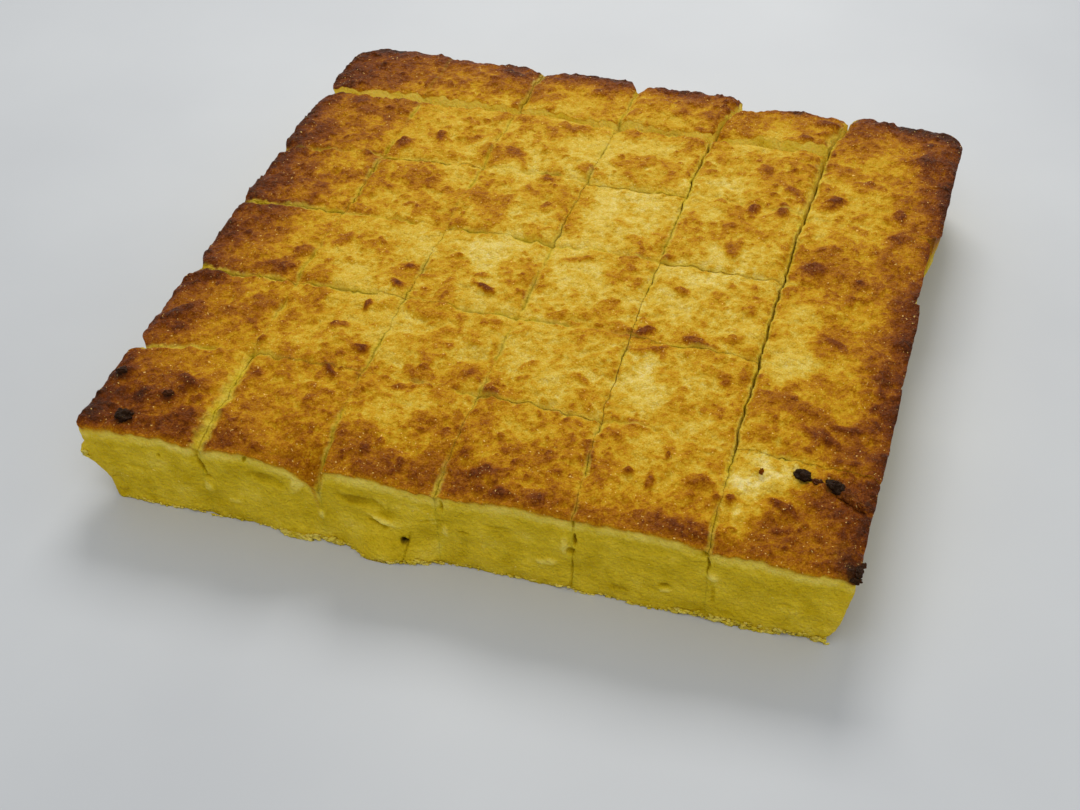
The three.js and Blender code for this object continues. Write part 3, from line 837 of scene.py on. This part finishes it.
def groove_masks(piece, x, y):
    """Where a cut shows the crumb at the crust, and how strong the painted shade along its middle is."""
    outline = 0.5 * noise(x / 1.1, y / 1.1, 95)
    crumb, crease_shade = 0.0, 0.0
    for line, along, distance in lines_around(piece, x, y):
        if "gaps" in line:
            width = valley_width(line, along)
            reach = 0.5 + 0.5 * np.maximum(width - open_width(line, along), 0.2)
            shown = between(0.1, 0.7, width) * between(1.9, 0.1, distance / reach + outline)
            crumb = np.maximum(crumb, shown)
            wide = between(1.0, 2.4, width)
            middle = 0.75 * (1 - wide) * between(1.3, 0.1, distance + 0.4 * outline)
            crease_shade = np.maximum(crease_shade, shown * np.maximum(middle, 0.4 * wide))
    return crumb, crease_shade


# ---- One piece as a mesh ----
def stations(length, spacing):
    """Shares of a piece's side where its points lie, closer together beside the cuts."""
    edge = np.cumsum([0.0, *EDGE_SPACING])
    count = max(int(round((length - 2 * edge[-1]) / spacing)), 1)
    inside = np.linspace(edge[-1], length - edge[-1], count + 1)[1:-1]
    return np.concatenate([edge, inside, length - edge[::-1]]) / length


def wall_levels(piece):
    """The levels of the points down a piece's walls, as shares of the height, closer near the crust."""
    if not on_rim(piece):
        return 1 - np.array([*INNER_DEPTHS, WALL_HEIGHT]) / WALL_HEIGHT
    spacing = FRONT_LEVELS if piece.south == 0 else OUTER_SPACING
    steps = int((WALL_HEIGHT - OUTER_DEPTHS[-1]) / spacing)
    depths = np.concatenate([OUTER_DEPTHS, np.linspace(OUTER_DEPTHS[-1], WALL_HEIGHT, steps + 1)[1:]])
    return 1 - depths / WALL_HEIGHT


def wall_looks(piece, rim_u, rim_v, rim, x, y, z, level, below):
    """How the walls look under a rim with these looks: browned at the crust, and torn crumb below."""
    outer = (
        ((rim_u == 0) & (piece.west == 0)) | ((rim_u == 1) & (piece.east == COLUMN_COUNT))
        | ((rim_v == 0) & (piece.south == 0)) | ((rim_v == 1) & (piece.north == ROW_COUNT))
    )
    fading = np.where(outer, 1.1 + 0.9 * (1 + noise(x / 9.0, y / 9.0, 97)) / 2, CUT_BROWNING)
    for fold_x, fold_y, reach, length in BROWN_FOLDS:
        fading = fading + length * bell(np.hypot(x - fold_x, y - fold_y), reach)
    char_and_shade = rim["char_and_shade"] * np.exp(-below / CHAR_RUN)
    tone = np.zeros_like(z)
    if piece.south == 0:
        at_front = (rim_v == 0)[None, :] & (level < 0.97)
        # The tone of the front marks: darker in the deep ones, partly as painted shade.
        tone = np.where(at_front, front_marks(x, z)[1], 0.0)
        # The hole in the front face is painted black: painted shade.
        pit_x, pit_z, pit_radius = SHADED_PIT
        pit_shade = between(1.3, 0.7, np.hypot(x - pit_x, z - pit_z) / pit_radius)
        char_and_shade = np.maximum(char_and_shade, np.where(at_front, pit_shade, 0.0))
    return {
        "browning": np.clip(rim["browning"], 0, 1) * np.exp(-below / fading),
        "char_and_shade": char_and_shade,
        "crumb": np.maximum(between(0.2, 1.5, below / fading), rim["crumb"]),
        # The painted shade along a cut runs a little way down its walls.
        "crease_shade": rim["crease_shade"] * np.exp(-below / CREASE_SHADE_RUN),
        "below": below,
        "tone": tone,
    }


def piece_arrays(piece):
    """The points, quads, base triangles and looks of one piece."""
    width = COLUMN_LINES[piece.east]["start"] - COLUMN_LINES[piece.west]["start"]
    depth = ROW_LINES[piece.north]["start"] - ROW_LINES[piece.south]["start"]
    across = stations(width, FRONT_SPACING if piece.south == 0 else TOP_SPACING)
    along = stations(depth, TOP_SPACING)
    u, v = np.meshgrid(across, along)
    ones = np.ones_like(u)
    x, y = plan_point(piece, u, v, ones, WALL_HEIGHT * ones)
    burn, raised, golden = browning(x, y)
    z = crust_height(piece, x, y, raised, golden)
    groove, crease_shade = groove_masks(piece, x, y)

    rows, columns = u.shape
    number = np.arange(rows * columns).reshape(rows, columns)
    rim = np.concatenate([number[0, :-1], number[:-1, -1], number[-1, :0:-1], number[:0:-1, 0]])
    rim_u, rim_v, rim_z = (values.ravel()[rim] for values in (u, v, z))
    levels = wall_levels(piece)[1:, None]
    wall_z = levels * rim_z
    level, wall_u, wall_v = (np.broadcast_to(values, wall_z.shape) for values in (levels, rim_u, rim_v))
    wall_x, wall_y = plan_point(piece, wall_u, wall_v, level, wall_z)
    if piece.south == 0:
        wall_y = wall_y - foot_reach(wall_x, wall_z) * (1 - rim_v) ** 4
    points = np.concatenate([
        np.stack([x.ravel(), y.ravel(), z.ravel()], 1),
        np.stack([wall_x.ravel(), wall_y.ravel(), wall_z.ravel()], 1),
        [[x.mean(), y.mean(), 0.0]],
    ])

    crust_faces = np.stack([number[:-1, :-1], number[:-1, 1:], number[1:, 1:], number[1:, :-1]], -1)
    ring = np.concatenate([rim[None, :], x.size + np.arange(wall_z.size).reshape(wall_z.shape)])
    turned = np.roll(ring, -1, axis=1)
    wall_faces = np.stack([ring[:-1], ring[1:], turned[1:], turned[:-1]], -1)
    quads = np.concatenate([crust_faces.reshape(-1, 4), wall_faces.reshape(-1, 4)])
    base = np.stack([np.full(len(rim), len(points) - 1), turned[-1], ring[-1]], 1)

    # Where a cut shows its crumb, the tone is 0.15 lower: painted shade in the valley.
    crust = {
        "browning": burn, "char_and_shade": charring(x, y), "crumb": groove, "crease_shade": crease_shade,
        "below": np.zeros_like(x), "tone": -0.15 * groove,
    }
    rim_looks = {name: values.ravel()[rim] for name, values in crust.items()}
    walls = wall_looks(piece, rim_u, rim_v, rim_looks, wall_x, wall_y, wall_z, level, rim_z - wall_z)
    looks = {
        name: np.concatenate([crust[name].ravel(), walls[name].ravel(), [at_base]])
        for name, at_base in BASE_LOOKS.items()
    }
    return points, quads, base, looks


def mesh_object(name, points, quads, triangles, looks, material):
    """A mesh object from arrays in millimetres, kept inside the solids' box."""
    low = np.array(cad_box[0]) / MILLIMETRE
    high = np.array(cad_box[1]) / MILLIMETRE
    placed = np.array(points, float)
    placed[:, :2] -= MIDDLE
    placed = np.clip(placed, low, high) * MILLIMETRE
    mesh = bpy.data.meshes.new(name)
    mesh.vertices.add(len(placed))
    mesh.vertices.foreach_set("co", placed.astype(np.float32).ravel())
    corners = np.concatenate([np.ravel(quads), np.ravel(triangles)]).astype(np.int32)
    sizes = np.concatenate([np.full(len(quads), 4), np.full(len(triangles), 3)]).astype(np.int32)
    mesh.loops.add(len(corners))
    mesh.loops.foreach_set("vertex_index", corners)
    mesh.polygons.add(len(sizes))
    mesh.polygons.foreach_set("loop_start", np.concatenate([[0], np.cumsum(sizes)[:-1]]).astype(np.int32))
    mesh.polygons.foreach_set("loop_total", sizes)
    mesh.polygons.foreach_set("use_smooth", np.ones(len(sizes), bool))
    mesh.update(calc_edges=True)
    for look, values in looks.items():
        attribute = mesh.attributes.new(look, "FLOAT", "POINT")
        attribute.data.foreach_set("value", np.asarray(values, np.float32))
    mesh.materials.append(material)
    made = bpy.data.objects.new(name, mesh)
    bpy.context.scene.collection.objects.link(made)
    return made


# ---- Materials ----
def linear(red, green, blue):
    """A colour given as on screen, 0 to 255, as Blender holds it."""
    def channel(value):
        share = value / 255
        return share / 12.92 if share <= 0.04045 else ((share + 0.055) / 1.055) ** 2.4
    return (channel(red), channel(green), channel(blue), 1.0)


def fill(tree, made, inputs):
    """Links or sets a node's inputs, which are given by name or number."""
    for socket, value in inputs.items():
        if isinstance(value, bpy.types.NodeSocket):
            tree.links.new(value, made.inputs[socket])
        else:
            made.inputs[socket].default_value = value


def node(tree, kind, inputs, **settings):
    """A new node with these settings and inputs."""
    made = tree.nodes.new(kind)
    for name, value in settings.items():
        setattr(made, name, value)
    fill(tree, made, inputs)
    return made


def ramp(tree, factor, stops):
    made = node(tree, "ShaderNodeValToRGB", {"Fac": factor})
    elements = made.color_ramp.elements
    while len(elements) < len(stops):
        elements.new(0.5)
    for element, (position, colour) in zip(elements, stops):
        element.position = position
        element.color = linear(*colour)
    return made.outputs["Color"]


def mix_colour(tree, factor, first, second):
    return node(tree, "ShaderNodeMix", {0: factor, 6: first, 7: second}, data_type="RGBA").outputs[2]


def calculate(tree, operation, first, second, third=0.0, clamp=False):
    inputs = {0: first, 1: second, 2: third}
    return node(tree, "ShaderNodeMath", inputs, operation=operation, use_clamp=clamp).outputs[0]


def span(tree, value, low, high, at_low, at_high):
    """A value that runs from one number to another while its input runs from low to high."""
    inputs = {"Value": value, "From Min": low, "From Max": high, "To Min": at_low, "To Max": at_high}
    return node(tree, "ShaderNodeMapRange", inputs).outputs[0]


def clouds(tree, place, scale, detail):
    inputs = {"Vector": place, "Scale": scale, "Detail": detail}
    return node(tree, "ShaderNodeTexNoise", inputs).outputs["Fac"]


def object_place(tree):
    return node(tree, "ShaderNodeTexCoord", {}).outputs["Object"]


def new_material(name):
    """A material with its node tree and shader."""
    made = bpy.data.materials.new(name)
    made.use_nodes = True
    return made, made.node_tree, made.node_tree.nodes["Principled BSDF"]


PALEST = 0.12  # added to the browning, so that grains paler than the palest crust show too
CRUST_STOPS = [
    (0.00, (238, 217, 140)),
    (0.12, (227, 200, 100)),
    (0.22, (217, 182, 64)),
    (0.34, (206, 160, 30)),
    (0.45, (192, 136, 12)),
    (0.56, (170, 108, 6)),
    (0.67, (143, 80, 6)),
    (0.78, (114, 54, 8)),
    (0.89, (88, 39, 11)),
    (1.00, (60, 28, 14)),
]
CRUMB_STOPS = [
    (0.00, (178, 144, 12)),
    (0.22, (203, 171, 19)),
    (0.55, (226, 195, 43)),
    (1.00, (246, 221, 98)),
]
# Painted shade: the dark olive laid along the middle of a cut and a little way down its walls.
CREASE_SHADE = (150, 123, 10)
# The black of burnt crust, also painted inside the front face's hole as shade.
BURNT_AND_SHADE = (29, 18, 13)
# Painted highlight: the pale gold of the glints, mixed into the crust's colour.
PAINTED_GLINT = (255, 212, 122)
FLOOR_STOPS = [(0.3, (188, 191, 194)), (0.7, (198, 201, 203))]


# Scale, in the number to a metre, and detail of the fine patterns.
GRAIN = (620.0, 3.0)
SPECK = (1900.0, 2.0)
SPARKLE = (1500.0, 0.0)
CLOUD = (130.0, 4.0)
BEAD_SCALE = 1000.0


def cake_material():
    """Browned crust over yellow crumb, mixed by the looks that the meshes carry."""
    made, tree, shader = new_material("cassava_cake")
    look = {
        name: node(tree, "ShaderNodeAttribute", {}, attribute_name=name).outputs["Fac"]
        for name in BASE_LOOKS
    }
    place = object_place(tree)
    grain = clouds(tree, place, *GRAIN)
    speck = clouds(tree, place, *SPECK)
    sparkle = clouds(tree, place, *SPARKLE)
    beads = node(tree, "ShaderNodeTexVoronoi", {"Vector": place, "Scale": BEAD_SCALE})

    uneven = calculate(tree, "MULTIPLY_ADD", grain, 0.26, -0.13)
    flecked = calculate(tree, "MULTIPLY_ADD", speck, 0.38, -0.19)
    toasted = calculate(tree, "ADD", calculate(tree, "ADD", look["browning"], uneven), flecked)
    toasted = calculate(tree, "ADD", toasted, PALEST, clamp=True)
    crust = ramp(tree, toasted, CRUST_STOPS)
    # Painted highlights: scattered specks of the crust turn pale gold, more on the browned crust, as sparkles
    # of light.
    painted_glint = span(tree, sparkle, 0.77, 0.84, 0.0, 0.75)
    painted_glint = calculate(tree, "MULTIPLY", painted_glint, span(tree, toasted, 0.1, 0.4, 0.25, 1.0))
    crust = mix_colour(tree, painted_glint, crust, linear(*PAINTED_GLINT))

    cloud = clouds(tree, place, *CLOUD)
    edge = calculate(tree, "MULTIPLY_ADD", cloud, 4.0, look["below"])
    band = span(tree, edge, 7.6, 5.4, 0.0, 0.36)  # the crumb is paler for some millimetres under the crust
    tone = calculate(tree, "MULTIPLY_ADD", cloud, 1.1, -0.12)
    tone = calculate(tree, "ADD", calculate(tree, "ADD", tone, band), calculate(tree, "ADD", uneven, flecked))
    tone = calculate(tree, "ADD", tone, look["tone"])
    crumb = ramp(tree, tone, CRUMB_STOPS)
    # Painted shade along the middle of the cuts.
    crumb = mix_colour(tree, look["crease_shade"], crumb, linear(*CREASE_SHADE))

    skin = mix_colour(tree, look["crumb"], crust, crumb)
    gloss = span(tree, toasted, 0.1, 0.8, 0.5, 0.32)
    height = calculate(tree, "MULTIPLY_ADD", grain, 0.9, calculate(tree, "MULTIPLY", speck, 0.35))
    height = calculate(tree, "MULTIPLY_ADD", beads.outputs["Distance"], -0.4, height)
    bump = node(tree, "ShaderNodeBump", {"Strength": 0.9, "Distance": 0.001, "Height": height})
    fill(tree, shader, {
        "Base Color": mix_colour(tree, look["char_and_shade"], skin, linear(*BURNT_AND_SHADE)),
        "Roughness": calculate(tree, "MULTIPLY_ADD", speck, 0.2, gloss),
        "Normal": bump.outputs["Normal"],
        "Specular IOR Level": 0.1,
        "Specular Tint": (1.0, 0.78, 0.35, 1.0),
        "Subsurface Weight": 0.22,
        "Subsurface Radius": (1.0, 0.7, 0.15),
        "Subsurface Scale": 0.003,
    })
    return made


def floor_material():
    made, tree, shader = new_material("pale_floor")
    colour = ramp(tree, clouds(tree, object_place(tree), 6.0, 4.0), FLOOR_STOPS)
    fill(tree, shader, {"Base Color": colour, "Roughness": 0.5})
    return made


# ---- The pieces ----
def all_pieces():
    for row in range(ROW_COUNT):
        for column in range(COLUMN_COUNT):
            in_last_column = column == COLUMN_COUNT - 1
            if in_last_column and row == ROW_COUNT - 1:
                continue
            uncut = in_last_column and row == ROW_COUNT - 2
            yield Piece(column, column + 1, row, ROW_COUNT if uncut else row + 1)


def make_cake(material):
    for piece in all_pieces():
        place = f"row{piece.south + 1}_column{piece.east}"
        points, quads, base, looks = piece_arrays(piece)
        made = mesh_object(f"baked_{place}", points, quads, base, looks, material)
        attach(made, "root")
        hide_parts(f"piece_{place}")


def make_heap(name, shapes, quads, caps, looks, material):
    """One mesh of many small closed shapes that have the same faces."""
    starts = np.arange(len(shapes)) * len(shapes[0])
    quads = np.concatenate([quads + start for start in starts])
    caps = np.concatenate([caps + start for start in starts])
    looks = {look: np.repeat(values, len(shapes[0])) for look, values in looks.items()}
    made = mesh_object(name, np.concatenate(shapes), quads, caps, looks, material)
    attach(made, "root")


def ball(rings, sides):
    """Points of a unit ball, one at each pole and rings of them between, and its faces."""
    up = np.linspace(0, math.pi, rings + 2)[1:-1, None]
    around = np.arange(sides)[None, :] * 2 * math.pi / sides
    belts = np.stack([np.sin(up) * np.cos(around), np.sin(up) * np.sin(around), np.cos(up) + 0 * around], -1)
    points = np.concatenate([[[0, 0, 1]], belts.reshape(-1, 3), [[0, 0, -1]]])
    index = 1 + np.arange(rings * sides).reshape(rings, sides)
    beside = np.roll(index, -1, axis=1)
    quads = np.stack([index[:-1], index[1:], beside[1:], beside[:-1]], -1).reshape(-1, 4)
    top = np.stack([np.zeros(sides, int), index[0], beside[0]], 1)
    bottom = np.stack([np.full(sides, len(points) - 1), beside[-1], index[-1]], 1)
    return points, quads, np.concatenate([top, bottom])


def crust_at(x, y):
    """The height of the crust at a place, or beside it where the place lies over the right edge."""
    x = min(x, HALF_WIDTH - 2)
    for piece in all_pieces():
        in_columns = column_x(piece, piece.west, y) <= x < column_x(piece, piece.east, y)
        if in_columns and row_y(piece, piece.south, x) <= y < row_y(piece, piece.north, x):
            _, raised, golden = browning(np.array([x]), np.array([y]))
            return crust_height(piece, np.array([x]), np.array([y]), raised, golden)[0]
    raise ValueError("no piece there")


def lump_points(out, number, lump):
    """A burnt lump: an egg shape crusted with knobs, sunk into the crust by its lower half."""
    place_x, place_y, half_length, half_width, height, turn = lump[:6]
    knobs = 0.0
    for knob in range(LUMP_KNOBS):
        rise = 2 * hashed(knob, number, 401) - 1
        turned = 2 * math.pi * hashed(knob, number, 402)
        flat = math.sqrt(1 - rise * rise)
        middle = np.array([flat * math.cos(turned), flat * math.sin(turned), rise])
        away = np.arccos(np.clip(out @ middle, -1, 1)) / lerp(0.22, 0.4, hashed(knob, number, 403))
        bulge = lerp(0.2, 0.45, hashed(knob, number, 404))
        knobs = np.maximum(knobs, bulge * np.sqrt(np.clip(1 - away**2, 0, 1)))
    shape = out * (0.7 + knobs)[:, None] * [half_length, half_width, height * 0.62]
    angle = math.radians(turn)
    x = place_x + shape[:, 0] * math.cos(angle) - shape[:, 1] * math.sin(angle)
    y = place_y + shape[:, 0] * math.sin(angle) + shape[:, 1] * math.cos(angle)
    return np.stack([x, y, shape[:, 2] + crust_at(place_x, place_y) + 0.1 * height], -1)


def make_lumps(material):
    out, quads, caps = ball(24, 38)
    shapes = [lump_points(out, number, lump) for number, lump in enumerate(LUMPS)]
    looks = {
        "browning": [0.6 + 0.3 * lump[6] for lump in LUMPS],
        "char_and_shade": [lump[6] for lump in LUMPS],
    }
    make_heap("burnt_lumps", shapes, quads, caps, looks, material)


def front_wall(x, z):
    """Where the front wall stands at a place along it, at a height."""
    line_y = front_line(x)
    level = z / (crown(x, line_y) - CRUST_SINK)
    return line_y + stand_back(FRONT, x, level, z, SOUTH_WALL) - foot_reach(x, z)


def crumb_points(out, number, zone):
    """A torn flake of crumb that clings to the front wall."""
    first, last, low, high, size = zone
    x = lerp(first, last, hashed(number, 1, 501))
    z = lerp(low, high, hashed(number, 2, 501) ** 1.5)
    size = size * lerp(0.4, 1.0, hashed(number, 3, 501))
    jagged = 0.45 + 0.9 * hashed(np.arange(len(out)), number, 502)
    stretch = [
        FLAKE_SHAPE[axis] * lerp(0.5, 1.2, hashed(number, 4 + axis, 501)) * size for axis in range(3)
    ]
    shape = out * jagged[:, None] * stretch
    angle = 1.4 * (hashed(number, 8, 501) - 0.5)
    along = shape[:, 0] * math.cos(angle) - shape[:, 2] * math.sin(angle)
    rise = shape[:, 0] * math.sin(angle) + shape[:, 2] * math.cos(angle)
    y = front_wall(x, z) - 0.3 * size + shape[:, 1]
    return np.stack([x + along, y, np.maximum(z + rise, 0.0)], -1)


def make_crumbs(material):
    out, quads, caps = ball(4, 7)
    numbered = [(100 * place + n, zone[:5]) for place, zone in enumerate(CRUMB_ZONES) for n in range(zone[5])]
    shapes = [crumb_points(out, number, zone) for number, zone in numbered]
    looks = {
        "crumb": np.ones(len(numbered)),
        "below": np.full(len(numbered), 10.0),
        "tone": [0.1 + 0.55 * hashed(number, 9, 501) for number, _ in numbered],
    }
    make_heap("foot_crumbs", shapes, quads, caps, looks, material)


# ---- Floor, lights and camera ----
FLOOR_HALF = 3.0  # metres, as all places and sizes of the lights
LIGHTS = [  # name, place, size, power, colour
    ("window", (-0.25, 1.0, 1.0), (0.7, 0.5), 11.0, (1.0, 0.98, 0.95)),
    ("ceiling", (0.3, -0.7, 1.5), (1.2, 1.2), 7.0, (1.0, 0.99, 0.97)),
]
LIT = (0, 0, 0.02)  # the place that the lights face
SKY_COLOUR, SKY_STRENGTH = (0.95, 0.97, 1.0, 1.0), 0.5


def make_floor():
    mesh = bpy.data.meshes.new("floor")
    half = FLOOR_HALF
    corners = [(-half, -half, 0), (half, -half, 0), (half, half, 0), (-half, half, 0)]
    mesh.from_pydata(corners, [], [(0, 1, 2, 3)])
    floor = bpy.data.objects.new("floor", mesh)
    floor.data.materials.append(floor_material())
    bpy.context.scene.collection.objects.link(floor)


def make_light(name, place, size, power, colour):
    light = bpy.data.lights.new(name, "AREA")
    light.shape = "RECTANGLE"
    light.size, light.size_y = size
    light.energy = power
    light.color = colour
    lamp = bpy.data.objects.new(name, light)
    lamp.location = place
    lamp.rotation_euler = (Vector(LIT) - Vector(place)).to_track_quat("-Z", "Y").to_euler()
    bpy.context.scene.collection.objects.link(lamp)


def make_lights():
    bpy.context.scene.view_settings.view_transform = "Standard"
    for light in LIGHTS:
        make_light(*light)
    world = bpy.data.worlds.new("studio")
    world.use_nodes = True
    background = world.node_tree.nodes["Background"]
    background.inputs["Color"].default_value = SKY_COLOUR
    background.inputs["Strength"].default_value = SKY_STRENGTH
    bpy.context.scene.world = world


CAMERA_PLACE = (129.09, -393.82, 360.29)
CAMERA_PITCH = 43.372  # degrees below the horizon
CAMERA_YAW = -19.396
CAMERA_ROLL = -2.147
LENS = 53.33
SENSOR = 36.0


def make_camera():
    pitch, yaw, roll = (math.radians(angle) for angle in (CAMERA_PITCH, CAMERA_YAW, CAMERA_ROLL))
    ahead = Vector((
        math.sin(yaw) * math.cos(pitch), math.cos(yaw) * math.cos(pitch), -math.sin(pitch),
    ))
    level = Vector((math.cos(yaw), -math.sin(yaw), 0))
    rise = level.cross(ahead)
    right = level * math.cos(roll) + rise * math.sin(roll)
    up = rise * math.cos(roll) - level * math.sin(roll)
    data = bpy.data.cameras.new("camera")
    data.lens = LENS
    data.sensor_width = SENSOR
    camera = bpy.data.objects.new("camera", data)
    place = Vector((CAMERA_PLACE[0] - MIDDLE[0], CAMERA_PLACE[1] - MIDDLE[1], CAMERA_PLACE[2]))
    turned = Matrix((right, up, -ahead)).transposed().to_4x4()
    camera.matrix_world = Matrix.Translation(place * MILLIMETRE) @ turned
    bpy.context.scene.collection.objects.link(camera)
    bpy.context.scene.camera = camera


make_camera()
make_lights()
make_floor()
cake = cake_material()
make_cake(cake)
make_lumps(cake)
make_crumbs(cake)
